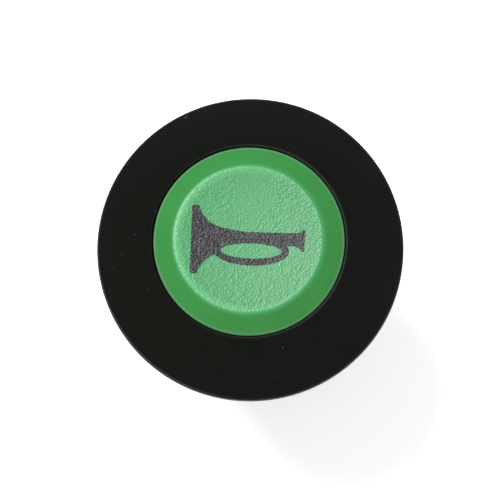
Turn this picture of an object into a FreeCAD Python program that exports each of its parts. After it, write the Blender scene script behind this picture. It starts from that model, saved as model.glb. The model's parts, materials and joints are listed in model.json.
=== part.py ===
"""Horn push button for a panel: a green spring-return push cap in a wide domed bezel ring.

Frame: millimetres, origin at the centre of the panel seat (the gasket's face that lies on the
panel), +Z out of the panel towards the finger, +Y up along the panel. Everything with negative Z
is behind the panel's front face.
"""
import FreeCAD
import Part
import math
import os

V = FreeCAD.Vector
Z_AXIS = V(0, 0, 1)
ORIGIN = V(0, 0, 0)

# ---- driving dimensions ---------------------------------------------------------------------
press_travel = 2.8            # full stroke of the push cap
contact_travel = 1.8          # stroke of the contact bridge until it closes
contact_gap_left = 0.03       # air left between the closed contact tips

bezel_r = 20.0                # outer radius of the bezel ring
bezel_edge_z = 1.6            # height of the bezel's upright side band
bezel_edge_fillet = 0.8
bezel_rim_z = 6.6             # height of the rim around the push cap
bezel_bore_r = 12.55
bezel_rim_chamfer = 0.18
bezel_bulge = 0.1             # how far the dome stands proud of a straight cone
bezel_gap = 0.2               # air between the bezel's skirt and the panel
skirt_wall = 2.2

cap_r = 12.35                 # sliding skirt of the push cap
cap_wall = 1.2
cap_shoulder_round = 0.18
face_r = 9.4                  # crest ring round the finger face
face_edge_round = 1.5         # radius of the rounded edge between face and flank
flank_slope_deg = 29.5
face_crest_z = 7.85
face_dish = 0.25              # depth of the shallow finger dish
cap_plate_z = 5.6             # underside of the cap's top plate
cap_skirt_z = -2.0
cap_end_play = 0.05           # air left under the fully pressed cap

thread_r = 15.0               # M30 x 1.5
thread_pitch = 1.5
thread_root_r = 14.08
thread_half_root = 0.125      # half the width of the groove's flat floor
thread_half_angle_deg = 30
thread_end_chamfer = 0.8
nut_crest_r = 14.19
nut_root_r = 15.08
nut_flank_play = 0.05
barrel_end_z = -20.0
thread_start_z = -2.25        # middle of the first groove

gasket_t = 0.8
flange_t = 1.0
flange_r = skirt_inner_r = bezel_r - skirt_wall
seal_groove_r = 14.0
seal_lip_clearance = 0.05
seal_lip_half = 0.3           # half height of the seal's two contact lips
seal_lip_hollow = 0.15        # how far the seal's middle stands back from its lips
seal_t = 1.6
collar_r = (14.6, 15.8)       # snap collar that the bezel ring clips over
collar_top_z = 3.0
collar_play = 0.1

web_z = (-8.5, -6.5)          # cross web that carries the guide bush
shelf_z = cap_skirt_z - press_travel - cap_end_play
shelf_r = 11.6
rear_bore_r = 12.6

stem_r = 3.0
stem_play = 0.05
stem_tail_r = 2.2
bush_r = 4.6
bush_flange_r = 5.4
bush_z = (-8.9, -5.7)
clip_z = (-9.65, -9.0)
clip_groove_r = 2.5
clip_r = 4.4
clip_mouth_half = 1.6
socket_r = 4.4
socket_z = 1.0
pin_x = 8.6                   # pins that keep the cap from turning
pin_r = 1.0
pin_play = 0.06
pin_z = (-8.5, 0.6)
pin_socket_r = 1.95
pin_socket_z = -1.0
pin_socket_roof = 0.6         # solid plastic left above the pin's bore
pin_point_chamfer = 0.3

carrier_z = (-23.0, -10.5)
carrier_half = (3.0, 3.2)
carrier_neck_r = 3.6
carrier_neck_z = -13.2
window_z = (-20.5, -14.0)
window_half_y = 1.95
window_roof_t = 0.8           # plastic between the window and the neck

bridge_half = (8.4, 1.8)
bridge_t = 0.5
bridge_corner_r = 0.8
tip_r = 1.2
tip_crown_r = 0.25
tip_h = 0.6
tip_x = 7.0

blade_w = 6.3                 # 6.3 x 0.8 flat plug terminals
blade_t = 0.8
blade_x = 10.5
blade_end_z = -41.0
blade_hole_r = 0.85
blade_hole_from_end = 3.2
blade_point_chamfer = 1.0
pad_inner_x = 5.0
tip_top_z = window_z[0] - tip_h - contact_travel - contact_gap_left
fixed_tip_h = 0.57
pad_top_z = tip_top_z - fixed_tip_h
pad_floor_z = pad_top_z - blade_t

block_r = 14.0
block_neck_r = 12.5
block_neck_wall = 1.0
block_top_z = -15.0
block_end_z = -29.5
cavity_half_y = 4.2
pocket_half_x = 3.7
pocket_z = -27.4
rear_seal_t = 0.8
rear_seal_inset = 0.6
cover_t = 2.2
cover_edge_r = 0.8
cover_blade_play = 0.1
blade_collar = (1.6, 4.3, 0.8)    # half x, half y and height of the raised collar round a blade
cover_rib = (0.7, 5.5, 1.6)       # half x, half y and height of the rib between the blades
screw_y = 9.4
screw_r = 1.25
screw_hole_r = 1.45
screw_head_r = 2.3
screw_head_h = 1.4
screw_head_edge_r = 0.5
screw_head_play = 0.2
recess = (1.4, 0.3, 0.8)          # half length, half width and depth of the cross recess
screw_tip_z = -12.0
screw_boss_r = 2.6

nut_z = (-9.2, -4.2)
nut_r = 18.0
nut_edge_chamfer = 0.5
nut_slots = 6
nut_slot_w = 4.0
nut_slot_depth = 1.6
washer_t = 0.9
washer_r = 18.2
washer_bore_r = 15.2
washer_teeth = 20
washer_notch = (0.9, 0.7)         # depth and half width of the notches between the teeth
keyway_half = 1.5
keyway_r = 13.95
keyway_top_z = -1.2
tab_play = 0.1

symbol_turn_deg = -2.1        # the printed horn sits very slightly turned on the face
symbol_depth = 0.12
symbol_corner_r = 0.2


# ---- helpers ---------------------------------------------------------------------------------
def revolved(points):
    """Solid of revolution about Z from a closed outline of (radius, z) points."""
    corners = [V(r, 0, z) for r, z in points]
    outline = Part.makePolygon(corners + [corners[0]])
    return Part.Face(outline).revolve(ORIGIN, Z_AXIS, 360)


def revolved_edges(edges):
    return Part.Face(Part.Wire(edges)).revolve(ORIGIN, Z_AXIS, 360)


def line(a, b):
    return Part.LineSegment(V(a[0], 0, a[1]), V(b[0], 0, b[1])).toShape()


def arc(a, middle, b):
    return Part.Arc(V(a[0], 0, a[1]), V(middle[0], 0, middle[1]), V(b[0], 0, b[1])).toShape()


def rod(radius, z_low, z_high, x=0.0, y=0.0):
    return Part.makeCylinder(radius, z_high - z_low, V(x, y, z_low), Z_AXIS)


def tube(r_out, r_in, z_low, z_high, x=0.0, y=0.0):
    return rod(r_out, z_low, z_high, x, y).cut(rod(r_in, z_low, z_high, x, y))


def block(x, y, z):
    """Box from its three (low, high) ranges."""
    return Part.makeBox(x[1] - x[0], y[1] - y[0], z[1] - z[0], V(x[0], y[0], z[0]))


def flat_edges_at(shape, level):
    """Edges of a shape that lie wholly in the plane z = level."""
    return [e for e in shape.Edges if e.BoundBox.ZLength < 1e-6 and abs(e.BoundBox.ZMin - level) < 1e-6]


def coil(mean_r, wire_r, z_low, z_high, turns, ground):
    """Round-wire compression spring between two seats; its ends are ground flat."""
    height = z_high - z_low - 2 * ground
    helix = Part.makeHelix(height / turns, height, mean_r)
    helix.translate(V(0, 0, z_low + ground))
    start = helix.Edges[0]
    ring = Part.Circle(start.valueAt(start.FirstParameter), start.tangentAt(start.FirstParameter), wire_r)
    profile = Part.Wire([ring.toShape()])
    wire = Part.Wire(helix.Edges).makePipeShell([profile], True, True)
    cage = rod(mean_r + 2 * wire_r, z_low, z_high)
    return wire.common(cage)


def thread_grooves(z_end):
    """V grooves of the barrel's M30 x 1.5 thread, from its start down to z_end."""
    slope = math.tan(math.radians(thread_half_angle_deg))
    half_crest = thread_half_root + (thread_r - thread_root_r) * slope
    over = 0.3
    half_over = half_crest + over * slope
    count = int((thread_start_z - z_end) / thread_pitch) + 1
    grooves = []
    for k in range(count):
        z = thread_start_z - k * thread_pitch
        grooves.append(revolved([
            (thread_root_r, z - thread_half_root), (thread_r + over, z - half_over),
            (thread_r + over, z + half_over), (thread_root_r, z + thread_half_root)]))
    return grooves


def nut_ridges():
    """Inner ridges of the ring nut, centred in the barrel's grooves with a little flank play."""
    slope = math.tan(math.radians(thread_half_angle_deg))
    half_crest = thread_half_root + (nut_crest_r - thread_root_r) * slope - nut_flank_play
    half_root = half_crest + (nut_root_r - nut_crest_r) * slope
    outer = nut_root_r + 0.1
    first = math.ceil((thread_start_z - nut_z[1] + half_root) / thread_pitch)
    last = math.floor((thread_start_z - nut_z[0] - half_root) / thread_pitch)
    ridges = []
    for k in range(first, last + 1):
        z = thread_start_z - k * thread_pitch
        ridges.append(revolved([
            (nut_crest_r, z - half_crest), (nut_root_r, z - half_root), (outer, z - half_root),
            (outer, z + half_root), (nut_root_r, z + half_root), (nut_crest_r, z + half_crest)]))
    return ridges


# ---- front: bezel, cap, symbol ---------------------------------------------------------------
def make_bezel_ring():
    """Domed front ring: upright side band, rounded edge, convex slope up to the rim."""
    edge = (bezel_r, bezel_edge_z)
    rim = (bezel_bore_r + bezel_rim_chamfer, bezel_rim_z)
    run, rise = rim[0] - edge[0], rim[1] - edge[1]
    length = math.hypot(run, rise)
    middle = ((edge[0] + rim[0]) / 2 + bezel_bulge * rise / length,
              (edge[1] + rim[1]) / 2 - bezel_bulge * run / length)
    bore_top = (bezel_bore_r, bezel_rim_z - bezel_rim_chamfer)
    seat_z = gasket_t + flange_t
    inner = collar_r[0] - collar_play
    outer = collar_r[1] + collar_play
    roof = collar_top_z + collar_play
    under = [(bezel_bore_r, seat_z), (inner, seat_z), (inner, roof), (outer, roof),
             (outer, seat_z), (skirt_inner_r, seat_z), (skirt_inner_r, bezel_gap), (bezel_r, bezel_gap)]
    path = [rim, bore_top] + under + [edge]
    edges = [line(a, b) for a, b in zip(path, path[1:])]
    edges.append(arc(edge, middle, rim))
    ring = revolved_edges(edges)
    return ring.makeFillet(bezel_edge_fillet, flat_edges_at(ring, bezel_edge_z))


def make_cap_body():
    """Push cap: sliding skirt, sloped flank, rounded edge and shallow dished finger face."""
    skirt_in = cap_r - cap_wall
    slope = math.radians(flank_slope_deg)
    crest = (face_r, face_crest_z)
    flank_top = (face_r + face_edge_round * math.sin(slope),
                 face_crest_z - face_edge_round * (1 - math.cos(slope)))
    crest_mid = (face_r + face_edge_round * math.sin(slope / 2),
                 face_crest_z - face_edge_round * (1 - math.cos(slope / 2)))
    shoulder_in = cap_r - cap_shoulder_round
    shoulder_z = flank_top[1] - (shoulder_in - flank_top[0]) * math.tan(slope)
    shoulder_low = (cap_r, shoulder_z - cap_shoulder_round)
    shoulder_high = (shoulder_in, shoulder_z)
    bevel = cap_shoulder_round * (1 - math.sqrt(0.5))
    shoulder_mid = (cap_r - bevel, shoulder_z - bevel)
    dish_r = (face_r ** 2 + face_dish ** 2) / (2 * face_dish)
    centre = (0, face_crest_z - face_dish)
    dish_mid = (face_r / 2, centre[1] + dish_r - math.sqrt(dish_r ** 2 - (face_r / 2) ** 2))
    edges = [
        line((skirt_in, cap_skirt_z), (cap_r, cap_skirt_z)),
        line((cap_r, cap_skirt_z), shoulder_low),
        arc(shoulder_low, shoulder_mid, shoulder_high),
        line(shoulder_high, flank_top),
        arc(flank_top, crest_mid, crest),
        arc(crest, dish_mid, centre),
        line(centre, (0, cap_plate_z)),
        line((0, cap_plate_z), (skirt_in, cap_plate_z)),
        line((skirt_in, cap_plate_z), (skirt_in, cap_skirt_z)),
    ]
    cap = revolved_edges(edges)
    cap = cap.fuse(tube(socket_r, stem_r, socket_z, cap_plate_z))
    for side in (-1, 1):
        cap = cap.fuse(rod(pin_socket_r, pin_socket_z, cap_plate_z, side * pin_x))
        cap = cap.cut(rod(pin_r + pin_play, pin_socket_z, cap_plate_z - pin_socket_roof, side * pin_x))
    return cap.removeSplitter()


def flat_face(edges):
    return Part.Face(Part.Wire(Part.__sortEdges__(edges)))


def segment(a, b):
    return Part.LineSegment(V(a[0], a[1], 0), V(b[0], b[1], 0)).toShape()


def smooth(points):
    curve = Part.BSplineCurve()
    curve.interpolate([V(x, y, 0) for x, y in points])
    return curve.toShape()


def make_symbol_prism(z_low, z_high):
    """Prism of a generic trumpet-horn pictogram, bell to the left, tubing loop underneath."""
    bell_axis = -0.19
    mouth_x = -7.41
    lip_x = -6.55
    mouth_half = 4.48
    throat = (-0.5, 1.16)
    flare = [(lip_x, mouth_half), (-6.0, 3.3), (-5.05, 2.31), (-3.0, 1.55), throat]
    upper = [(x, bell_axis + y) for x, y in flare]
    lower = [(x, bell_axis - y) for x, y in flare]
    bell = flat_face([
        segment((mouth_x, lower[0][1]), (mouth_x, upper[0][1])),
        segment((mouth_x, upper[0][1]), upper[0]), smooth(upper), segment(upper[-1], lower[-1]),
        smooth(lower), segment(lower[0], (mouth_x, lower[0][1]))])
    pipe_top, pipe_low = 0.98, -0.74
    pipe_start = throat[0] - 0.4
    top_bend, top_lip, pipe_corner = (6.1, pipe_top), (6.85, 1.4), (7.3, 1.4)
    tip, low_lip, low_bend = (7.1, -1.5), (6.85, -1.4), (5.8, pipe_low)
    pipe = flat_face([
        segment((pipe_start, pipe_top), top_bend), smooth([top_bend, (6.55, 1.1), top_lip]),
        segment(top_lip, pipe_corner), segment(pipe_corner, tip), segment(tip, low_lip),
        smooth([low_lip, (6.45, -0.95), low_bend]), segment(low_bend, (pipe_start, pipe_low)),
        segment((pipe_start, pipe_low), (pipe_start, pipe_top))])
    height = V(0, 0, z_high - z_low)
    loop, hole = [
        Part.Face(Part.Wire([Part.Ellipse(V(0.36, y, 0), half_l, half_w).toShape()])).extrude(height)
        for y, half_l, half_w in ((-1.46, 4.87, 1.95), (-1.5, 3.9, 0.99))]
    prism = bell.extrude(height).fuse([pipe.extrude(height), loop]).cut(hole).removeSplitter()
    rounded = [(mouth_x, upper[0][1]), (mouth_x, lower[0][1]), upper[0], lower[0], pipe_corner]
    corners = [e for e in prism.Edges if e.BoundBox.ZLength > 1e-3
               and any(math.hypot(e.BoundBox.XMin - x, e.BoundBox.YMin - y) < 1e-3 for x, y in rounded)]
    prism = prism.makeFillet(symbol_corner_r, corners)
    prism.rotate(ORIGIN, Z_AXIS, symbol_turn_deg)
    prism.translate(V(0, 0, z_low))
    return prism


def make_cap_and_symbol():
    """The symbol fills a pocket that follows the dished face at a constant shallow depth."""
    cap = make_cap_body()
    sunk = make_cap_body()
    sunk.translate(V(0, 0, -symbol_depth))
    prism = make_symbol_prism(face_crest_z - face_dish - 1.0, face_crest_z + 1.0)
    symbol = cap.common(prism).cut(sunk)
    return cap.cut(symbol), symbol


# ---- barrel and what clamps it ---------------------------------------------------------------
def make_barrel_housing():
    """Threaded barrel with front flange, snap collar, seal groove, guide web and screw bosses."""
    flange_top = gasket_t + flange_t
    seal_floor = flange_top - seal_t
    body = revolved([
        (shelf_r, web_z[1]), (shelf_r, shelf_z), (bezel_bore_r, shelf_z), (bezel_bore_r, seal_floor),
        (seal_groove_r, seal_floor), (seal_groove_r, flange_top), (collar_r[0], flange_top),
        (collar_r[0], collar_top_z), (collar_r[1], collar_top_z), (collar_r[1], flange_top),
        (flange_r, flange_top), (flange_r, gasket_t), (thread_r, gasket_t),
        (thread_r, barrel_end_z + thread_end_chamfer), (thread_root_r, barrel_end_z),
        (rear_bore_r, barrel_end_z),
        (rear_bore_r, web_z[0]), (bush_r, web_z[0]), (bush_r, web_z[1])])
    for groove in thread_grooves(barrel_end_z + thread_end_chamfer):
        body = body.cut(groove)
    keyway = block((-keyway_half, keyway_half), (-thread_r - 1, -keyway_r), (barrel_end_z, keyway_top_z))
    body = body.cut(keyway)
    for side in (-1, 1):
        body = body.fuse(rod(screw_boss_r, block_top_z, web_z[0], 0, side * screw_y))
        body = body.cut(rod(screw_r, block_top_z, screw_tip_z, 0, side * screw_y))
        body = body.cut(rod(pin_r, web_z[0], web_z[1], side * pin_x))
    return body


def make_bezel_side_parts():
    flange_top = gasket_t + flange_t
    gasket = tube(flange_r - 0.1, thread_r + 0.3, 0, gasket_t)
    lip_r = cap_r + seal_lip_clearance
    base_z = flange_top - seal_t
    low_lip = (lip_r, base_z + seal_lip_half)
    high_lip = (lip_r, flange_top - seal_lip_half)
    waist = (lip_r + seal_lip_hollow, base_z + seal_t / 2)
    seal = revolved([
        low_lip, (bezel_bore_r, base_z), (seal_groove_r, base_z), (seal_groove_r, flange_top),
        (bezel_bore_r, flange_top), high_lip, waist])
    return gasket, seal


def make_ring_nut():
    """Round slotted nut; its six slots take a pin spanner."""
    nut = tube(nut_r, nut_root_r, *nut_z)
    rims = [e for e in nut.Edges if e.BoundBox.ZLength < 1e-6 and abs(e.BoundBox.XMax - nut_r) < 1e-6]
    nut = nut.makeChamfer(nut_edge_chamfer, rims)
    nut = nut.fuse(nut_ridges())
    for k in range(nut_slots):
        slot = block((nut_r - nut_slot_depth, nut_r + 1), (-nut_slot_w / 2, nut_slot_w / 2), nut_z)
        slot.rotate(ORIGIN, Z_AXIS, 360 * k / nut_slots)
        nut = nut.cut(slot)
    return nut


def make_lock_washer():
    """Toothed washer; its inner tab runs in the barrel's keyway."""
    z_low = nut_z[1]
    z_range = (z_low, z_low + washer_t)
    washer = tube(washer_r, washer_bore_r, *z_range)
    tab_half = keyway_half - tab_play
    tab = block((-tab_half, tab_half), (-washer_bore_r - 0.3, -keyway_r - tab_play), z_range)
    washer = washer.fuse(tab)
    depth, half = washer_notch
    notch = block((washer_r - depth, washer_r + 1), (-half, half), z_range)
    for k in range(washer_teeth):
        cutter = notch.copy()
        cutter.rotate(ORIGIN, Z_AXIS, 360 * (k + 0.5) / washer_teeth)
        washer = washer.cut(cutter)
    return washer.removeSplitter()


# ---- plunger ---------------------------------------------------------------------------------
def make_guide_bush():
    bush = tube(bush_r, stem_r + stem_play, *bush_z)
    flange = tube(bush_flange_r, stem_r + stem_play, web_z[1], bush_z[1])
    return bush.fuse(flange).removeSplitter()


def make_guide_pins():
    pins = [rod(pin_r, pin_z[0], pin_z[1], side * pin_x) for side in (-1, 1)]
    rounded = []
    for pin in pins:
        rounded.append(pin.makeChamfer(pin_point_chamfer, flat_edges_at(pin, pin_z[1])))
    return Part.makeCompound(rounded)


def make_plunger_stem():
    return revolved([
        (0, cap_plate_z), (stem_r, cap_plate_z), (stem_r, clip_z[1]), (clip_groove_r, clip_z[1]),
        (clip_groove_r, clip_z[0]), (stem_r, clip_z[0]), (stem_r, carrier_z[1]),
        (stem_tail_r, carrier_z[1]), (stem_tail_r, carrier_neck_z), (0, carrier_neck_z)])


def make_stem_clip():
    """Snap ring in the stem's groove: it stops the cap from coming out."""
    clip = tube(clip_r, clip_groove_r, *clip_z)
    mouth = block((-clip_mouth_half, clip_mouth_half), (0, clip_r + 1), clip_z)
    return clip.cut(mouth)


def make_contact_carrier():
    """Slider on the stem's end; the contact bridge floats in its window."""
    hx, hy = carrier_half
    frame_top = window_z[1] + 2 * window_roof_t
    carrier = block((-hx, hx), (-hy, hy), (carrier_z[0], frame_top))
    carrier = carrier.fuse(rod(carrier_neck_r, frame_top - 0.2, carrier_z[1]))
    carrier = carrier.cut(rod(stem_tail_r, carrier_neck_z, carrier_z[1]))
    carrier = carrier.cut(block((-hx, hx), (-window_half_y, window_half_y), window_z))
    return carrier.removeSplitter()


# ---- contacts --------------------------------------------------------------------------------
def make_contact_bridge():
    hx, hy = bridge_half
    z_low = window_z[0]
    bridge = block((-hx, hx), (-hy, hy), (z_low, z_low + bridge_t))
    corners = [e for e in bridge.Edges if e.BoundBox.ZLength > bridge_t - 1e-6]
    return bridge.makeFillet(bridge_corner_r, corners)


def make_tip_pair(z_low, z_high, domed_up):
    """Two silver contact rivet heads, slightly domed on their contact side."""
    tips = []
    for side in (-1, 1):
        tip = rod(tip_r, z_low, z_high, side * tip_x)
        level = z_high if domed_up else z_low
        crown = flat_edges_at(tip, level)
        tips.append(tip.makeFillet(tip_crown_r, crown))
    return Part.makeCompound(tips)


def make_terminal(side):
    """Bent brass strip: contact pad inside, 6.3 x 0.8 plug blade outside."""
    inner, outer = blade_x - blade_t / 2, blade_x + blade_t / 2
    half = blade_w / 2
    pad = block((pad_inner_x, outer), (-half, half), (pad_floor_z, pad_top_z))
    leg = block((inner, outer), (-half, half), (blade_end_z, pad_top_z))
    strip = pad.fuse(leg).removeSplitter()
    point = [e for e in flat_edges_at(strip, blade_end_z) if e.BoundBox.YLength < 1e-6]
    strip = strip.makeChamfer(blade_point_chamfer, point)
    hole_z = blade_end_z + blade_hole_from_end
    strip = strip.cut(Part.makeCylinder(blade_hole_r, 3, V(outer + 1, 0, hole_z), V(-1, 0, 0)))
    if side < 0:
        strip = strip.mirror(ORIGIN, V(1, 0, 0))
    return strip


# ---- contact block ---------------------------------------------------------------------------
def blade_slots(z_low, z_high, play):
    half_t = blade_t / 2 + play
    half_w = blade_w / 2 + play
    return [block((side * blade_x - half_t, side * blade_x + half_t), (-half_w, half_w), (z_low, z_high))
            for side in (-1, 1)]


def screw_holes(z_low, z_high):
    return [rod(screw_hole_r, z_low, z_high, 0, side * screw_y) for side in (-1, 1)]


def make_contact_base():
    """Insulating block behind the barrel: holds the terminals and guides the carrier."""
    base = rod(block_r, block_end_z, barrel_end_z).fuse(rod(block_neck_r, barrel_end_z, block_top_z))
    cavity = rod(block_neck_r - block_neck_wall, pad_floor_z, block_top_z).common(
        block((-block_r, block_r), (-cavity_half_y, cavity_half_y), (pad_floor_z, block_top_z)))
    base = base.cut(cavity)
    base = base.cut(block((-pocket_half_x, pocket_half_x), (-cavity_half_y, cavity_half_y),
                          (pocket_z, pad_floor_z)))
    for cutter in blade_slots(block_end_z, pad_floor_z, 0) + screw_holes(block_end_z, block_top_z):
        base = base.cut(cutter)
    return base.removeSplitter()


def make_terminal_seal():
    low = block_end_z - rear_seal_t
    seal = rod(block_r - rear_seal_inset, low, block_end_z)
    for cutter in blade_slots(low, block_end_z, 0) + screw_holes(low, block_end_z):
        seal = seal.cut(cutter)
    return seal


def make_rear_cover():
    """Closing plate with raised collars round the blades and sunk seats for the screw heads."""
    top = block_end_z - rear_seal_t
    low = top - cover_t
    cover = rod(block_r, low, top)
    cover = cover.makeFillet(cover_edge_r, flat_edges_at(cover, low))
    half_x, half_y, height = blade_collar
    for side in (-1, 1):
        x = side * blade_x
        cover = cover.fuse(block((x - half_x, x + half_x), (-half_y, half_y), (low - height, low)))
        cover = cover.cut(rod(screw_head_r + screw_head_play, low, low + screw_head_h, 0, side * screw_y))
    for cutter in blade_slots(low - height, top, cover_blade_play) + screw_holes(low, top):
        cover = cover.cut(cutter)
    half_x, half_y, height = cover_rib
    cover = cover.fuse(block((-half_x, half_x), (-half_y, half_y), (low - height, low)))
    return cover.removeSplitter()


def make_cover_screws():
    """Two long thread-forming screws with cross recess."""
    head_low = block_end_z - rear_seal_t - cover_t
    head_high = head_low + screw_head_h
    screws = []
    for side in (-1, 1):
        y = side * screw_y
        screw = rod(screw_head_r, head_low, head_high, 0, y)
        screw = screw.makeFillet(screw_head_edge_r, flat_edges_at(screw, head_low))
        screw = screw.fuse(rod(screw_r, head_high, screw_tip_z, 0, y))
        length, width, depth = recess
        for half_x, half_y in ((length, width), (width, length)):
            groove = block((-half_x, half_x), (y - half_y, y + half_y), (head_low, head_low + depth))
            screw = screw.cut(groove)
        screws.append(screw.removeSplitter())
    return Part.makeCompound(screws)


def make_nodes():
    cap, symbol = make_cap_and_symbol()
    gasket, seal = make_bezel_side_parts()
    bridge_low = window_z[0]
    return {
        "bezel_ring": make_bezel_ring(),
        "barrel_housing": make_barrel_housing(),
        "flange_gasket": gasket,
        "lip_seal": seal,
        "ring_nut": make_ring_nut(),
        "lock_washer": make_lock_washer(),
        "guide_bush": make_guide_bush(),
        "guide_pins": make_guide_pins(),
        "push_cap": cap,
        "horn_symbol": symbol,
        "plunger_stem": make_plunger_stem(),
        "stem_clip": make_stem_clip(),
        "return_spring": coil(6.0, 0.35, web_z[1], cap_plate_z, 6.5, 0.2),
        "contact_carrier": make_contact_carrier(),
        "contact_spring": coil(1.35, 0.16, bridge_low + bridge_t, window_z[1], 7, 0.1),
        "contact_bridge": make_contact_bridge(),
        "bridge_contact_tips": make_tip_pair(bridge_low - tip_h, bridge_low, False),
        "fixed_contact_tips": make_tip_pair(pad_top_z, tip_top_z, True),
        "terminal_left": make_terminal(-1),
        "terminal_right": make_terminal(1),
        "contact_base": make_contact_base(),
        "terminal_seal": make_terminal_seal(),
        "rear_cover": make_rear_cover(),
        "cover_screws": make_cover_screws(),
    }


os.makedirs("parts", exist_ok=True)
for name, shape in make_nodes().items():
    print(f"{name:22s} {len(shape.Solids)} solid(s) {shape.Volume:9.2f} mm3 valid={shape.isValid()}")
    shape.exportStep(f"parts/{name}.step")
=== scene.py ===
"""Looks of the horn push button: a grained green cap in a satin black bezel, seen from the front."""
import json
import math

import bmesh
import bpy
import numpy as np
from mathutils import Matrix, Vector, noise
from mathutils.bvhtree import BVHTree
from mathutils.geometry import delaunay_2d_cdt


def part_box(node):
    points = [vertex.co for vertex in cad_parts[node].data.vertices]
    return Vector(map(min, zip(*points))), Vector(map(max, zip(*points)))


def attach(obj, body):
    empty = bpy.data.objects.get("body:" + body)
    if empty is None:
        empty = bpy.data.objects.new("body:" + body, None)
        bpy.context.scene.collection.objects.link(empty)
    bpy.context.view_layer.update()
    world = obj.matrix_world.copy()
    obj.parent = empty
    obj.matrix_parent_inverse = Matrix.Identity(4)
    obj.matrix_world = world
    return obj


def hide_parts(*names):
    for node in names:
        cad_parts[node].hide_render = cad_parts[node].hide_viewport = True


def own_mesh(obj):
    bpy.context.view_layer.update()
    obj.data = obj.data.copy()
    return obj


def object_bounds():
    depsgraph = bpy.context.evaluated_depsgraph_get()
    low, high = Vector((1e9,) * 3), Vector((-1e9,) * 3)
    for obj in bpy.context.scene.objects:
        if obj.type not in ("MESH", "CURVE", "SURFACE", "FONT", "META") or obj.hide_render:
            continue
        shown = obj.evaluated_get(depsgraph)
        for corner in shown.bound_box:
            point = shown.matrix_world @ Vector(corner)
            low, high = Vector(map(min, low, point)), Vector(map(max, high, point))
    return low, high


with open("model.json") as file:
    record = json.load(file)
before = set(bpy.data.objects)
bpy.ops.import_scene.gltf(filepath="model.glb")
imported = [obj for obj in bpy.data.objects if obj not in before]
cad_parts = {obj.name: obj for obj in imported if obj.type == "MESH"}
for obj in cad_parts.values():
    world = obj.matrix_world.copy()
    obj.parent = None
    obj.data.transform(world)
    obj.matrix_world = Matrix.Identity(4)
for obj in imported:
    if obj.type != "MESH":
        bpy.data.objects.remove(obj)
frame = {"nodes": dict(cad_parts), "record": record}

MM = 0.001
cad_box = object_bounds()
nodes = frame["nodes"]
slot_of = {row["node"]: row["material_slot"] for row in frame["record"]["subparts"]}

# ---- driving dimensions, in millimetres ------------------------------------------------------
cap_low, cap_high = [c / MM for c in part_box("push_cap")]
bezel_low, bezel_high = [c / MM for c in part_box("bezel_ring")]
CAP_R = cap_high.x
CAP_TOP = cap_high.z
FACE_R = 9.4                       # crest ring round the finger face
FACE_DISH = 0.25
EDGE_ROUND = 1.5
FLANK_SLOPE = math.radians(29.5)
FACE_EDGE_R = FACE_R + EDGE_ROUND * math.sin(FLANK_SLOPE)
GRAIN_DEPTH = 0.025
BEZEL_R = bezel_high.x
BORE_R = 12.47                     # the bezel's bore at its rounded lip


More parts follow.
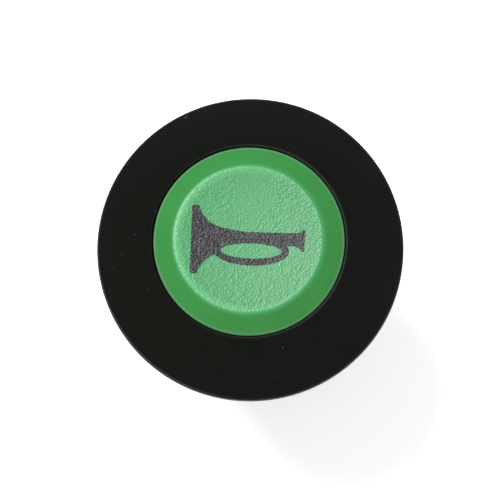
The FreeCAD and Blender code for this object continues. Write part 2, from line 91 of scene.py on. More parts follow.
# ---- small helpers for node materials --------------------------------------------------------
class Material:
    """A Principled material with a few shortcuts for its procedural parts."""

    def __init__(self, name, roughness=0.5, metallic=0.0, specular=0.5):
        self.material = bpy.data.materials.new(name)
        self.material.use_nodes = True
        self.tree = self.material.node_tree
        self.shader = self.tree.nodes["Principled BSDF"]
        self.shader.inputs["Roughness"].default_value = roughness
        self.shader.inputs["Metallic"].default_value = metallic
        self.shader.inputs["Specular IOR Level"].default_value = specular
        self.place = self.node("ShaderNodeTexCoord").outputs["Object"]

    def node(self, kind, **settings):
        node = self.tree.nodes.new(kind)
        for key, value in settings.items():
            setattr(node, key, value)
        return node

    def link(self, output, socket):
        self.tree.links.new(output, socket)

    def noise(self, pitch_mm, detail=2.0, roughness=0.5, stretch=(1, 1, 1)):
        """Noise with features about pitch_mm across, in the part's own frame."""
        mapping = self.node("ShaderNodeMapping")
        mapping.inputs["Scale"].default_value = [s / (pitch_mm * MM) for s in stretch]
        self.link(self.place, mapping.inputs["Vector"])
        noise = self.node("ShaderNodeTexNoise")
        noise.inputs["Scale"].default_value = 1.0
        noise.inputs["Detail"].default_value = detail
        noise.inputs["Roughness"].default_value = roughness
        self.link(mapping.outputs["Vector"], noise.inputs["Vector"])
        return noise.outputs["Fac"]

    def spread(self, fac, low, high, start=0.0, stop=1.0):
        """A factor from start to stop, remapped to low to high."""
        ranged = self.node("ShaderNodeMapRange")
        ends = {"From Min": start, "From Max": stop, "To Min": low, "To Max": high}
        for key, value in ends.items():
            ranged.inputs[key].default_value = value
        self.link(fac, ranged.inputs["Value"])
        return ranged.outputs["Result"]

    def blend(self, fac, first, second, mode="MIX"):
        mix = self.node("ShaderNodeMix", data_type="RGBA", blend_type=mode)
        for value, socket in ((fac, mix.inputs[0]), (first, mix.inputs[6]), (second, mix.inputs[7])):
            if isinstance(value, bpy.types.NodeSocket):
                self.link(value, socket)
            else:
                socket.default_value = value if socket == mix.inputs[0] else (*value, 1.0)
        return mix.outputs[2]

    def combine(self, first, second, operation):
        maths = self.node("ShaderNodeMath", operation=operation)
        for value, socket in ((first, maths.inputs[0]), (second, maths.inputs[1])):
            if isinstance(value, bpy.types.NodeSocket):
                self.link(value, socket)
            else:
                socket.default_value = value
        return maths.outputs[0]

    def edges(self, start, stop):
        """0 to 1 between two sharpnesses: 0.5 is flat, hollows are less, tips and outer edges more."""
        geometry = self.node("ShaderNodeNewGeometry")
        return self.spread(geometry.outputs["Pointiness"], 0.0, 1.0, start, stop)

    def radius(self, low, high, start_mm, stop_mm):
        """A value that runs from low to high between two distances from the part's axis."""
        flat = self.node("ShaderNodeMapping")
        flat.inputs["Scale"].default_value = (1, 1, 0)
        self.link(self.place, flat.inputs["Vector"])
        length = self.node("ShaderNodeVectorMath", operation="LENGTH")
        self.link(flat.outputs["Vector"], length.inputs[0])
        return self.spread(length.outputs["Value"], low, high, start_mm * MM, stop_mm * MM)

    def side(self, towards, start_mm, stop_mm):
        """0 to 1 between two distances from the axis in one direction."""
        dot = self.node("ShaderNodeVectorMath", operation="DOT_PRODUCT")
        self.link(self.place, dot.inputs[0])
        dot.inputs[1].default_value = towards
        return self.spread(dot.outputs["Value"], 0, 1, start_mm * MM, stop_mm * MM)

    def band(self, rise_mm, top_mm, fall_mm, end_mm):
        """1 between the radii top_mm and fall_mm, fading to 0 at rise_mm and end_mm."""
        rise = self.radius(0, 1, rise_mm, top_mm)
        return self.combine(rise, self.radius(1, 0, fall_mm, end_mm), "MULTIPLY")

    def colour(self, value):
        self.link(value, self.shader.inputs["Base Color"])

    def roughness(self, value):
        self.link(value, self.shader.inputs["Roughness"])

    def bump(self, height, depth_mm):
        bump = self.node("ShaderNodeBump")
        bump.inputs["Strength"].default_value = 1.0
        bump.inputs["Distance"].default_value = depth_mm * MM
        self.link(height, bump.inputs["Height"])
        self.link(bump.outputs["Normal"], self.shader.inputs["Normal"])


def moulded(name, base, roughness, grain_mm, grain_depth_mm):
    """Moulded plastic: faint flow patches and a fine spark-eroded grain."""
    flow_mm, tint = 6.0, 0.12
    m = Material(name, roughness)
    patches = m.noise(flow_mm, 3.0)
    grain = m.noise(grain_mm, 3.0, 0.6)
    dark = [c * (1 - tint) for c in base]
    pale = [c * (1 + tint) for c in base]
    m.colour(m.blend(m.spread(patches, 0, 1, 0.35, 0.65), dark, pale))
    m.roughness(m.spread(grain, roughness - 0.06, roughness + 0.08, 0.3, 0.7))
    m.bump(grain, grain_depth_mm)
    return m.material


def metal(name, base, roughness, streak, tarnish):
    """Drawn or stamped metal: rolling streaks, slight tarnish patches."""
    streak_mm, tarnish_mm, streak_depth = 0.25, 3.0, 0.004
    m = Material(name, roughness, metallic=1.0)
    streaks = m.noise(streak_mm, 3.0, 0.6, streak)
    patches = m.noise(tarnish_mm, 4.0, 0.6)
    dull = [c * t for c, t in zip(base, tarnish)]
    m.colour(m.blend(m.spread(patches, 0.0, 0.45, 0.45, 0.75), base, dull))
    m.roughness(m.spread(streaks, roughness - 0.08, roughness + 0.14, 0.3, 0.7))
    m.bump(streaks, streak_depth)
    return m.material


def grained_cap():
    """Green cap: paler grain tips and darker hollows on the finger face as painted highlight and shade,
    saturated flank with a deeper painted shade on its upper side, painted highlights along the shoulder
    edge and on the crest ring.
    """
    flow_mm, speck_mm, speck_depth = 5.0, 0.2, 0.02
    # The third colour is a deeper green, painted as shade on the flank's upper side.
    flow_dark, flow_pale, upper_painted_shade = (0.03, 0.163, 0.036), (0.033, 0.178, 0.041), (0.018, 0.165, 0.03)
    # A pale green, painted as a highlight along the shoulder's rounded edge.
    shoulder = (0.1, 0.24, 0.12)
    # Hollow and tip colours are painted shade and painted highlight on the grain; the spot colour marks
    # random paler specks.
    hollow, tip_highlight, spot = (0.024, 0.155, 0.048), (0.05, 0.285, 0.104), (0.046, 0.24, 0.088)
    # The second colour is a painted highlight for the crest ring.
    outer_shade, crest_highlight = (0.8, 0.93, 0.85), (0.08, 0.34, 0.13)
    m = Material("cap_plastic", 0.36, specular=0.3)
    patches = m.noise(flow_mm, 3.0)
    speck = m.noise(speck_mm, 2.0, 0.6)
    flank = m.blend(m.spread(patches, 0, 1, 0.35, 0.65), flow_dark, flow_pale)
    # Painted shade: the flank's upper side is mixed most of the way towards the deeper green.
    flank = m.blend(m.side((0.3, -0.95, 0), -12, 12), m.blend(0.7, flank, upper_painted_shade), flank)
    # Painted highlight along the shoulder's rounded edge.
    flank = m.blend(m.radius(0, 0.8, CAP_R - 0.4, CAP_R - 0.12), flank, shoulder)
    # Painted shade in the grain's hollows, painted highlight on its tips.
    tips = m.blend(m.edges(0.44, 0.57), hollow, tip_highlight)
    face = m.blend(m.spread(speck, 0, 0.5, 0.35, 0.65), tips, spot)
    face = m.blend(m.radius(0, 1, 5.5, 8.8), face, outer_shade, "MULTIPLY")
    # Painted highlight: a pale band round the crest ring, strongest towards the left.
    crest = m.band(FACE_R - 0.9, FACE_R - 0.1, FACE_R + 0.1, FACE_R + 0.6)
    crest = m.combine(crest, m.spread(m.side((-1, 0, 0), -9, 9), 0.2, 0.75), "MULTIPLY")
    with_painted_highlight = m.blend(crest, face, crest_highlight)
    m.colour(m.blend(m.radius(0, 1, FACE_R, FACE_R + 0.8), with_painted_highlight, flank))
    m.roughness(m.radius(0.31, 0.3, FACE_R, FACE_R + 0.7))
    m.link(m.radius(0.3, 0.14, FACE_R, FACE_R + 0.7), m.shader.inputs["Specular IOR Level"])
    m.bump(m.combine(speck, m.radius(1, 0.1, FACE_R, FACE_R + 0.6), "MULTIPLY"), speck_depth)
    return m.material


def bezel_finish():
    """Satin black ring: faint flow patches, darker on its upper left as painted shade, painted grey
    highlights on the bore edge's right side and along one outer edge, specks of dust.
    """
    flow_mm, grain_mm, grain_depth_mm, dust_mm = 7.0, 0.12, 0.006, 0.45
    flow_dark, flow_pale = (0.0051, 0.0056, 0.0044), (0.0061, 0.0066, 0.0053)
    upper_shade = (0.0031, 0.0036, 0.0026)
    # The lip and edge greys are painted highlights; the dust grey is real dust.
    lip_highlight_grey, edge_highlight_grey, dust_grey = (0.023, 0.031, 0.027), (0.03, 0.034, 0.031), (0.12, 0.12, 0.11)
    m = Material("bezel_plastic", 0.3, specular=0.022)
    patches = m.noise(flow_mm, 3.0)
    grain = m.noise(grain_mm, 3.0, 0.6)
    black = m.blend(m.spread(patches, 0, 1, 0.35, 0.65), flow_dark, flow_pale)
    black = m.blend(m.side((-0.45, 0.9, 0), -12, 16), black, upper_shade)
    # Painted highlight: grey on the bore's rounded edge, on its right side only.
    lip = m.radius(1, 0, BORE_R + 0.06, BORE_R + 0.36)
    lip = m.combine(lip, m.side((0.9, 0.1, 0), -10, 8), "MULTIPLY")
    with_painted_highlight = m.blend(lip, black, lip_highlight_grey)
    # Painted highlight: a thin grey line just inside the outer edge, at the lower left.
    edge_highlight = m.band(BEZEL_R - 0.28, BEZEL_R - 0.18, BEZEL_R - 0.12, BEZEL_R - 0.03)
    edge_highlight = m.combine(edge_highlight, m.side((-0.87, -0.5, 0), 11, 19), "MULTIPLY")
    with_painted_highlight = m.blend(edge_highlight, with_painted_highlight, edge_highlight_grey)
    dust = m.spread(m.noise(dust_mm, 1.0), 0, 0.5, 0.79, 0.83)
    m.colour(m.blend(dust, with_painted_highlight, dust_grey))
    m.roughness(m.spread(grain, 0.27, 0.36, 0.3, 0.7))
    m.bump(grain, grain_depth_mm)
    return m.material


def printed_ink():
    """Dark ink: grey where it is worn in specks, near black in the grain's hollows and sharp edges."""
    speck_mm, speck_depth = 0.26, 0.045
    hollow, plain = (0.001, 0.0009, 0.0022), (0.014, 0.0135, 0.018)
    rubbed_grey, edge_black = (0.066, 0.067, 0.08), (0.002, 0.003, 0.004)
    m = Material("symbol_ink", 0.3, specular=0.22)
    speck = m.noise(speck_mm, 2.0, 0.6)
    ink = m.blend(m.edges(0.44, 0.57), hollow, plain)
    ink = m.blend(m.spread(speck, 0, 1, 0.53, 0.64), ink, rubbed_grey)
    m.colour(m.blend(m.edges(0.53, 0.58), ink, edge_black))
    m.roughness(m.spread(speck, 0.24, 0.38, 0.35, 0.65))
    m.bump(speck, speck_depth)
    return m.material


def rubber(name):
    """Matt rubber with a faint grey bloom."""
    bloom_mm, fine_mm, fine_depth = 1.5, 0.12, 0.006
    black, bloomed = (0.012, 0.012, 0.012), (0.03, 0.03, 0.028)
    m = Material(name, 0.75, specular=0.3)
    bloom = m.noise(bloom_mm, 4.0, 0.65)
    fine = m.noise(fine_mm, 2.0)
    m.colour(m.blend(m.spread(bloom, 0, 1, 0.35, 0.7), black, bloomed))
    m.roughness(m.spread(bloom, 0.65, 0.9, 0.3, 0.7))
    m.bump(fine, fine_depth)
    return m.material


looks = {
    "black_bezel": bezel_finish(),
    "black_housing": moulded("housing_plastic", (0.016, 0.016, 0.016), 0.55, 0.2, 0.01),
    "black_rubber": rubber("seal_rubber"),
    "green_plastic": grained_cap(),
    "dark_ink": printed_ink(),
    "white_acetal": moulded("acetal", (0.75, 0.75, 0.71), 0.4, 0.3, 0.004),
    "grey_block": moulded("block_plastic", (0.07, 0.075, 0.08), 0.5, 0.18, 0.008),
    "zinc_steel": metal("zinc_plate", (0.27, 0.28, 0.295), 0.4, (1, 1, 0.08), (0.7, 0.72, 0.75)),
    "spring_steel": metal("spring_wire", (0.45, 0.44, 0.42), 0.32, (1, 1, 0.08), (0.6, 0.5, 0.4)),
    "brass": metal("stamped_brass", (0.6, 0.43, 0.19), 0.32, (0.08, 1, 1), (0.6, 0.5, 0.42)),
    "silver": metal("contact_silver", (0.88, 0.87, 0.84), 0.25, (1, 1, 0.08), (0.6, 0.5, 0.4)),
}


# ---- camera, lights, floor -------------------------------------------------------------------
def direction(azimuth, elevation):
    """Unit vector from the part towards a viewer; azimuth 0 stands at -Y, 90 at +X."""
    a, e = math.radians(azimuth), math.radians(elevation)
    return Vector((math.sin(a) * math.cos(e), -math.cos(a) * math.cos(e), math.sin(e)))


def add_camera():
    """Nearly straight above the finger face, leaning a little towards its lower edge."""
    distance = 0.42
    view_width = 0.065232          # width of the picture at the bezel's plane
    azimuth, elevation = 8.5, 79.5
    data = bpy.data.cameras.new("camera")
    data.sensor_width = 36.0
    data.lens = distance / view_width * data.sensor_width
    data.clip_start = 0.01
    camera = bpy.data.objects.new("camera", data)
    bpy.context.scene.collection.objects.link(camera)
    target = Vector((-0.00002, -0.00015, 0.0009))
    away = direction(azimuth, elevation)
    across = Vector((0, 1, 0)).cross(away).normalized()
    camera.location = target + away * distance
    camera.rotation_euler = Matrix((across, away.cross(across), away)).transposed().to_euler()
    bpy.context.scene.camera = camera


def add_key_light():
    """One soft round lamp high at the upper left, which models the grain."""
    distance, size, power = 1.1, 0.45, 13
    data = bpy.data.lights.new("key", "AREA")
    data.shape = "DISK"
    data.size = size
    data.energy = power
    light = bpy.data.objects.new("key", data)
    away = direction(225, 66)
    light.location = away * distance
    light.rotation_euler = away.to_track_quat("Z", "Y").to_euler()
    bpy.context.scene.collection.objects.link(light)


def add_stage():
    """Pale light table: its own faint glow keeps the part's shadow soft."""
    gap, half, glow = 0.0005, 1.2, 0.32
    low_z = cad_box[0][2] - gap
    corners = [(-half, -half, low_z), (half, -half, low_z), (half, half, low_z), (-half, half, low_z)]
    mesh = bpy.data.meshes.new("floor")
    mesh.from_pydata(corners, [], [(0, 1, 2, 3)])
    floor = bpy.data.objects.new("floor", mesh)
    bpy.context.scene.collection.objects.link(floor)
    m = Material("floor_paint", 0.9, specular=0.1)
    m.colour(m.blend(m.noise(40.0), (0.92, 0.92, 0.92), (0.95, 0.95, 0.95)))
    m.shader.inputs["Emission Color"].default_value = (1, 1, 1, 1)
    m.shader.inputs["Emission Strength"].default_value = glow
    mesh.materials.append(m.material)


def add_world():
    """Studio surround: brighter near the horizon, so that the floor's shadow stays faint."""
    world = bpy.data.worlds.new("studio")
    world.use_nodes = True
    tree = world.node_tree
    place = tree.nodes.new("ShaderNodeTexCoord")
    split = tree.nodes.new("ShaderNodeSeparateXYZ")
    ramp = tree.nodes.new("ShaderNodeValToRGB")
    stops = ((0.0, 0.9), (0.2, 0.7), (0.5, 0.36), (1.0, 0.34))      # height on the sky, grey
    while len(ramp.color_ramp.elements) < len(stops):
        ramp.color_ramp.elements.new(0.5)
    for element, (height, grey) in zip(ramp.color_ramp.elements, stops):
        element.position = height
        element.color = (grey, grey, grey, 1)
    tree.links.new(place.outputs["Generated"], split.inputs["Vector"])
    tree.links.new(split.outputs["Z"], ramp.inputs["Fac"])
    background = tree.nodes["Background"]
    background.inputs["Strength"].default_value = 2.0
    tree.links.new(ramp.outputs["Color"], background.inputs["Color"])
    bpy.context.scene.world = world
    bpy.context.scene.view_settings.view_transform = "Standard"


# ---- mesh building ---------------------------------------------------------------------------
def add_piece(name, verts, faces, body, node, smooth_angle):
    """A mesh piece that takes the place of one CAD node, with that node's slot and look."""
    mesh = bpy.data.meshes.new(name)
    mesh.from_pydata([tuple(v) for v in verts], [], faces)
    mesh.validate()
    mesh.materials.append(looks[slot_of[node]])
    for polygon in mesh.polygons:
        polygon.use_smooth = True
    mesh.set_sharp_from_angle(angle=math.radians(smooth_angle))
    piece = bpy.data.objects.new(name, mesh)
    bpy.context.scene.collection.objects.link(piece)
    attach(piece, body)
    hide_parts(node)
    return piece


def smooth_step(t):
    t = np.clip(t, 0.0, 1.0)
    return t * t * (3 - 2 * t)


def grain(x, y):
    """Moulded grain, as heights from about -1 to 1: flat-topped worn pebbles with finer noise."""
    pebble, fine_pitch, coarse_pitch, warp_pitch = 0.33, 0.17, 0.6, 1 / 1.1
    warp_share, fine_share, coarse_share = 0.3, 0.45, 0.3
    pebble_top, pebble_height, hollow = 0.6, 1.6, -0.4
    heights = np.empty(len(x))
    for i, (px, py) in enumerate(zip(x, y)):
        warp = warp_share * noise.noise(Vector((px / warp_pitch, py / warp_pitch, 4.2)))
        point = Vector((px / pebble + warp, py / pebble - warp, 0.0))
        near, second = noise.voronoi(point)[0][:2]
        fine = noise.noise(Vector((px / fine_pitch, py / fine_pitch, 9.1)))
        coarse = noise.noise(Vector((px / coarse_pitch, py / coarse_pitch, 2.7)))
        pebbles = pebble_height * min(second - near, pebble_top) + hollow
        heights[i] = pebbles + fine_share * fine + coarse_share * coarse
    return heights


def disc_grid(radius, cells):
    """Points of a square grid laid on a disc, its quads, and its rim's point numbers in turn from +X."""
    steps = np.linspace(-1, 1, cells + 1)
    u, v = [a.ravel() for a in np.meshgrid(steps, steps, indexing="ij")]
    x, y = radius * u * np.sqrt(1 - v ** 2 / 2), radius * v * np.sqrt(1 - u ** 2 / 2)
    row = cells + 1
    quads = [(i * row + j, (i + 1) * row + j, (i + 1) * row + j + 1, i * row + j + 1)
             for i in range(cells) for j in range(cells)]
    rim = [cells * row + j for j in range(cells)] + [i * row + cells for i in range(cells, 0, -1)]
    rim += [j for j in range(cells, 0, -1)] + [i * row for i in range(cells)]
    shift = int(np.argmin([abs(math.atan2(y[k], x[k])) if x[k] > 0 else 9 for k in rim]))
    return x, y, quads, rim[shift:] + rim[:shift]


def arc_points(start, corner, stop, count):
    """Points of a smooth rounded corner from start to stop, pulled towards corner."""
    out = []
    for k in range(count + 1):
        t = k / count
        out.append(tuple((1 - t) ** 2 * a + 2 * t * (1 - t) * c + t * t * b
                         for a, c, b in zip(start, corner, stop)))
    return out


def lathe(angles, outlines, closed=True):
    """Vertices and faces of outlines of (radius, z) in millimetres, one per angle, swept round the axis."""
    count = len(outlines[0])
    verts = [(r * math.cos(a) * MM, r * math.sin(a) * MM, z * MM)
             for a, outline in zip(angles, outlines) for r, z in outline]
    turns = len(angles)
    faces = [(k * count + i, (k + 1) % turns * count + i,
              (k + 1) % turns * count + (i + 1) % count, k * count + (i + 1) % count)
             for k in range(turns) for i in range(count if closed else count - 1)]
    return verts, faces


def ring_angles(steps, breaks=()):
    """Even angles round the axis, plus close pairs either side of each break."""
    pairs = [b + side * 0.0006 for b in breaks for side in (-1, 1)]
    even = [2 * math.pi * k / steps for k in range(steps)]
    spaced = [a for a in even if all(abs(math.remainder(a - b, 2 * math.pi)) > 0.002 for b in breaks)]
    return sorted(a % (2 * math.pi) for a in spaced + pairs)


# ---- bezel -----------------------------------------------------------------------------------
def add_bezel():
    """Domed ring with a rounded outer edge and a softly rounded rim round the bore."""
    rim_z, edge_z, skirt_chamfer = bezel_high.z, 1.6, 0.15
    edge_in, edge_up, edge_down, edge_steps = 0.55, 0.37, 0.5, 8
    rim_in, rim_down, rim_steps = 0.24, 0.03, 8
    bulge, bulge_out, bulge_up, dome_steps = 0.1, 0.56, 0.83, 24
    start, stop = (BEZEL_R - edge_in, edge_z + edge_up), (BORE_R + rim_in, rim_z - rim_down)
    dome = []
    for k in range(dome_steps):
        t = k / dome_steps
        lift = bulge * 4 * t * (1 - t)
        dome.append((start[0] + (stop[0] - start[0]) * t + lift * bulge_out,
                     start[1] + (stop[1] - start[1]) * t + lift * bulge_up))
    edge = arc_points((BEZEL_R, edge_z - edge_down), (BEZEL_R, edge_z), start, edge_steps)
    rim_crown, rim_foot = (BORE_R + 0.02, rim_z + 0.05), (BORE_R, rim_z - 0.28)
    rim = arc_points(stop, rim_crown, rim_foot, rim_steps)
    seat_z, roof_z, neck_r, recess_r, skirt_r, foot_z = 1.8, 3.1, 14.5, 15.9, 17.8, bezel_low.z
    under = [(BORE_R, seat_z), (neck_r, seat_z), (neck_r, roof_z), (recess_r, roof_z), (recess_r, seat_z),
             (skirt_r, seat_z), (skirt_r, foot_z + skirt_chamfer), (skirt_r + skirt_chamfer, foot_z),
             (BEZEL_R - skirt_chamfer, foot_z), (BEZEL_R, foot_z + skirt_chamfer)]
    angles = ring_angles(240)
    verts, faces = lathe(angles, [edge[:-1] + dome + rim + under] * len(angles))
    add_piece("bezel_ring_domed", verts, faces, "housing", "bezel_ring", 32)


# ---- threaded barrel and ring nut ------------------------------------------------------------
THREAD_R = 15.0
ROOT_R = 14.08
PITCH = 1.5
HALF_ROOT = 0.125                  # half the width of the groove's flat floor
THREAD_TOP_Z = -2.0                # where the thread has faded out, under the flange
FADE = 0.8
THREAD_ANGLES = 168                # steps round the axis
KEYWAY_ANGLE = 1.5 * math.pi
KEYWAY_HALF_ANGLE = math.asin(1.5 / THREAD_R)
KEYWAY_FLOOR = 13.95
KEYWAY_TOP_Z = -1.2


def thread_radius(angle, z):
    """Radius of the barrel's right-hand helical thread, fading out under the flange."""
    turn = z / PITCH - angle / (2 * math.pi)
    across = abs(turn - round(turn)) * PITCH
    height = (across - HALF_ROOT) / math.tan(math.radians(30))
    depth = THREAD_R - min(THREAD_R, ROOT_R + max(0.0, height))
    return THREAD_R - depth * float(smooth_step((THREAD_TOP_Z - z) / FADE))


def add_barrel():
    """The CAD barrel with its outside turned into a helical thread with a keyway."""
    bore_r, chamfer, flange_z, rows, sliver = 12.6, 0.8, 0.8, 208, 0.01
    low_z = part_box("barrel_housing")[0].z / MM
    sides = [KEYWAY_ANGLE - KEYWAY_HALF_ANGLE, KEYWAY_ANGLE + KEYWAY_HALF_ANGLE]
    angles = ring_angles(THREAD_ANGLES, sides)
    levels = [low_z + (flange_z - low_z) * k / rows for k in range(rows + 1)]
    levels = sorted(levels + [KEYWAY_TOP_Z - sliver])
    outlines = []
    for angle in angles:
        outline = [(bore_r, low_z)]
        aside = angle - KEYWAY_ANGLE
        for z in levels:
            chamfer_radius = ROOT_R + (z - low_z) * (THREAD_R - ROOT_R) / chamfer
            radius = min(thread_radius(angle, z), chamfer_radius)
            if abs(aside) < KEYWAY_HALF_ANGLE and z < KEYWAY_TOP_Z:
                radius = min(radius, KEYWAY_FLOOR / math.cos(aside))
            outline.append((radius, z))
        outlines.append(outline)
    verts, faces = lathe(angles, outlines, closed=False)
    bm = bmesh.new()
    bm.from_mesh(nodes["barrel_housing"].data)
    inner_r, top_z = (KEYWAY_FLOOR - 0.1) * MM, (flange_z - sliver) * MM
    outside = [v for v in bm.verts if math.hypot(v.co.x, v.co.y) > inner_r and v.co.z < top_z]
    bmesh.ops.delete(bm, geom=outside, context="VERTS")
    bm.verts.index_update()
    first = len(verts)
    verts += [tuple(v.co) for v in bm.verts]
    faces += [tuple(first + v.index for v in f.verts) for f in bm.faces]
    bm.free()
    add_piece("barrel_housing_threaded", verts, faces, "housing", "barrel_housing", 32)


def add_ring_nut():
    """Round nut with six spanner slots and a helical inner thread."""
    nut_r, chamfer, slots, slot_r, slot_half, rows = 18.0, 0.5, 6, 16.4, math.radians(6.6), 56
    thread_play, thread_in, thread_out = 0.08, 14.2, 15.08
    low_z, high_z = [c.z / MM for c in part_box("ring_nut")]
    centres = [2 * math.pi * k / slots for k in range(slots)]
    angles = ring_angles(THREAD_ANGLES, [c + side * slot_half for c in centres for side in (-1, 1)])
    outlines = []
    for angle in angles:
        in_slot = any(abs(math.remainder(angle - c, 2 * math.pi)) < slot_half for c in centres)
        reach = slot_r if in_slot else nut_r
        outline = []
        for k in range(rows + 1):
            z = low_z + (high_z - low_z) * k / rows
            radius = thread_radius(angle, z) + thread_play
            outline.append((min(thread_out, max(thread_in, radius)), z))
        shy = min(reach, nut_r - chamfer)
        outline += [(shy, high_z), (reach, high_z - chamfer), (reach, low_z + chamfer), (shy, low_z)]
        outlines.append(outline)
    verts, faces = lathe(angles, outlines)
    add_piece("ring_nut_threaded", verts, faces, "housing", "ring_nut", 32)


# ---- springs ---------------------------------------------------------------------------------
def add_spring(node, mean_r, wire_r, turns, ground, body):
    """Round-wire spring with ground ends."""
    steps_per_turn, sides = 28, 12
    steps = int(turns * steps_per_turn)
    low, high = [c.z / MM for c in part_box(node)]
    climb = (high - low - 2 * ground) / (2 * math.pi * turns)
    lean = math.atan2(climb, mean_r)
    verts = []
    for k in range(steps + 1):
        turn = 2 * math.pi * turns * k / steps
        for i in range(sides):
            around = 2 * math.pi * i / sides
            out, up = wire_r * math.cos(around), wire_r * math.sin(around)
            x, y = mean_r + out, -up * math.sin(lean)
            z = low + ground + climb * turn + up * math.cos(lean)
            verts.append(((x * math.cos(turn) - y * math.sin(turn)) * MM,
                          (x * math.sin(turn) + y * math.cos(turn)) * MM,
                          min(high, max(low, z)) * MM))
    faces = [(k * sides + i, k * sides + (i + 1) % sides,
              (k + 1) * sides + (i + 1) % sides, (k + 1) * sides + i)
             for k in range(steps) for i in range(sides)]
    faces += [tuple(reversed(range(sides))), tuple(steps * sides + i for i in range(sides))]
    spring = add_piece(node + "_coil", verts, faces, body, node, 50)
    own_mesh(spring)


# ---- push cap --------------------------------------------------------------------------------
def face_z(radius):
    """Height of the smooth finger face: a shallow dish that rolls over at its rim."""
    dish = CAP_TOP - FACE_DISH * (1 - (np.minimum(radius, FACE_R) / FACE_R) ** 2)
    over = np.clip(radius - FACE_R, 0, EDGE_ROUND)
    return dish - (EDGE_ROUND - np.sqrt(EDGE_ROUND ** 2 - over ** 2))


def grain_depth(x, y):
    """Depth of the grain at a point: full on the face, gone over its rim, thumb-worn at the top."""
    rim_start, rim_width = FACE_R + 0.05, 0.55
    worn_x, worn_half, worn_side, worn_y, worn_rise, wear = 0.6, 1.2, 2.2, 1.5, 3.5, 0.6
    rim = 1 - smooth_step((np.hypot(x, y) - rim_start) / rim_width)
    aside = smooth_step((np.abs(x - worn_x) - worn_half) / worn_side)
    worn = smooth_step((y - worn_y) / worn_rise) * (1 - aside)
    return GRAIN_DEPTH * rim * (1 - wear * worn)


def add_push_cap():
    """Grained dished face, sloped flank, rounded shoulder and thin skirt, closed underneath."""
    cells, flank_rings, shoulder_steps = 216, 9, 6
    wall, underside_z, shoulder_in, shoulder_corner, shoulder_end = 1.2, 5.6, 0.22, 0.12, 0.34
    x, y, faces, rim = disc_grid(FACE_EDGE_R, cells)
    z = face_z(np.hypot(x, y)) + grain_depth(x, y) * grain(x, y)
    verts = list(zip(x * MM, y * MM, z * MM))
    skirt_z = cap_low.z
    edge_z = float(face_z(np.array([FACE_EDGE_R]))[0])
    shoulder_r = CAP_R - shoulder_in
    drop = math.tan(FLANK_SLOPE) * (shoulder_r - FACE_EDGE_R)
    shoulder_z = edge_z - drop
    flank = (shoulder_r - FACE_EDGE_R) / flank_rings, drop / flank_rings
    profile = [(FACE_EDGE_R + flank[0] * k, edge_z - flank[1] * k) for k in range(1, flank_rings)]
    profile += arc_points((shoulder_r, shoulder_z), (CAP_R, shoulder_z - shoulder_corner),
                          (CAP_R, shoulder_z - shoulder_end), shoulder_steps)
    profile += [(CAP_R, (shoulder_z + skirt_z) / 2), (CAP_R, skirt_z), (CAP_R - wall, skirt_z),
                (CAP_R - wall, underside_z)]
    count = len(rim)
    angles = [math.atan2(y[k], x[k]) for k in rim]
    previous = rim
    for radius, level in profile:
        ring = list(range(len(verts), len(verts) + count))
        verts += [(radius * math.cos(a) * MM, radius * math.sin(a) * MM, level * MM) for a in angles]
        faces += [(previous[k], ring[k], ring[(k + 1) % count], previous[(k + 1) % count])
                  for k in range(count)]
        previous = ring
    centre = len(verts)
    verts.append((0, 0, underside_z * MM))
    faces += [(previous[k], centre, previous[(k + 1) % count]) for k in range(count)]
    return add_piece("push_cap_grained", verts, faces, "push_cap", "push_cap", 40)


# ---- printed symbol --------------------------------------------------------------------------
def top_patch(node):
    """The upward faces of a CAD node as (triangles' BVH, outline points, outline edges), in millimetres."""
    bm = bmesh.new()
    bm.from_mesh(nodes[node].data)
    bmesh.ops.remove_doubles(bm, verts=bm.verts, dist=1e-7)
    bmesh.ops.triangulate(bm, faces=bm.faces)
    middle = sum(v.co.z for v in bm.verts) / len(bm.verts)
    tops = [f for f in bm.faces if f.normal.z > 0.9 and f.calc_center_median().z > middle - 1]
    points, edges, number = [], [], {}
    for e in bm.edges:
        if sum(f in tops for f in e.link_faces) == 1:
            pair = []
            for v in e.verts:
                if v.index not in number:
                    number[v.index] = len(points)
                    points.append(Vector((v.co.x / MM, v.co.y / MM)))
                pair.append(number[v.index])
            edges.append(pair)
    corners = [[Vector((v.co.x / MM, v.co.y / MM, 0)) for v in f.verts] for f in tops]
    tree = BVHTree.FromPolygons([c for f in corners for c in f],
                                [(3 * k, 3 * k + 1, 3 * k + 2) for k in range(len(corners))])
    bm.free()
    return tree, points, edges


def split_edges(points, edges, step):
    """The outline's edges cut into lengths of at most step; the new points join the list."""
    short = []
    for a, b in edges:
        count = math.ceil((points[b] - points[a]).length / step)
        chain = [a] + list(range(len(points), len(points) + count - 1)) + [b]
        points += [points[a].lerp(points[b], k / count) for k in range(1, count)]
        short += zip(chain, chain[1:])
    return short


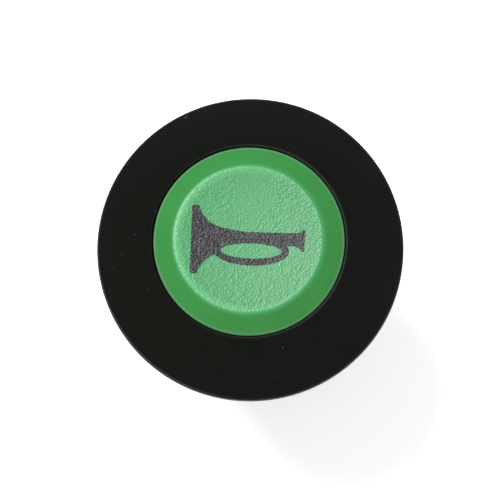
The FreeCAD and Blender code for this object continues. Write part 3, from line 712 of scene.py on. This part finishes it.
def add_symbol_print(cap):
    """Thin ink film that follows the face's grain, on the CAD symbol's outline with a ragged edge."""
    film, overlap, step, margin, creep, creep_pitch = 0.012, 0.05, 0.085, 0.07, 0.06, 0.13
    start_z = 2 * CAP_TOP * MM
    tree, points, edges = top_patch("horn_symbol")
    low, high = [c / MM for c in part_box("horn_symbol")]
    down = Vector((0, 0, -1))

    def inside(x, y):
        return tree.ray_cast(Vector((x, y, 1)), down)[0] is not None

    edges = split_edges(points, edges, step)
    for gx in np.arange(low.x, high.x, step):
        for gy in np.arange(low.y, high.y, step):
            corners = [(gx + a * margin, gy + b * margin) for a in (-1, 1) for b in (-1, 1)]
            if inside(gx, gy) and all(inside(*c) for c in corners):
                points.append(Vector((gx, gy)))
    flat, _, triangles, _, _, _ = delaunay_2d_cdt(points, edges, [], 0, 1e-5)
    triangles = [t for t in triangles if inside(*(sum((flat[k] for k in t), Vector((0, 0))) / 3))]
    sides = {pair for t in triangles for pair in zip(t, t[1:] + t[:1])}
    rim = sorted((a, b) for a, b in sides if (b, a) not in sides)
    rim_points = {a for a, b in rim}
    surface = BVHTree.FromObject(cap, bpy.context.evaluated_depsgraph_get())
    upper = []
    for k, p in enumerate(flat):
        if k in rim_points:
            bleed = [noise.noise(Vector((p.x / creep_pitch, p.y / creep_pitch, z))) for z in (3.1, 8.6)]
            p = p + creep * Vector(bleed)
        hit = surface.ray_cast(Vector((p.x * MM, p.y * MM, start_z)), down)[0]
        upper.append((p.x * MM, p.y * MM, hit.z + film * MM))
    lower = [(x, y, z - overlap * MM) for x, y, z in upper]
    count = len(upper)
    faces = [tuple(t) for t in triangles] + [tuple(count + k for k in reversed(t)) for t in triangles]
    faces += [(b, a, count + a, count + b) for a, b in rim]
    add_piece("horn_symbol_print", upper + lower, faces, "push_cap", "horn_symbol", 50)


add_camera()
add_key_light()
add_stage()
add_world()

for name, node in nodes.items():
    node.data.materials.clear()
    node.data.materials.append(looks[slot_of[name]])
add_bezel()
add_barrel()
add_ring_nut()
add_spring("return_spring", mean_r=6.0, wire_r=0.35, turns=6.5, ground=0.2,
           body="housing")
add_spring("contact_spring", mean_r=1.35, wire_r=0.16, turns=7, ground=0.1,
           body="push_cap")
push_cap = add_push_cap()
add_symbol_print(push_cap)
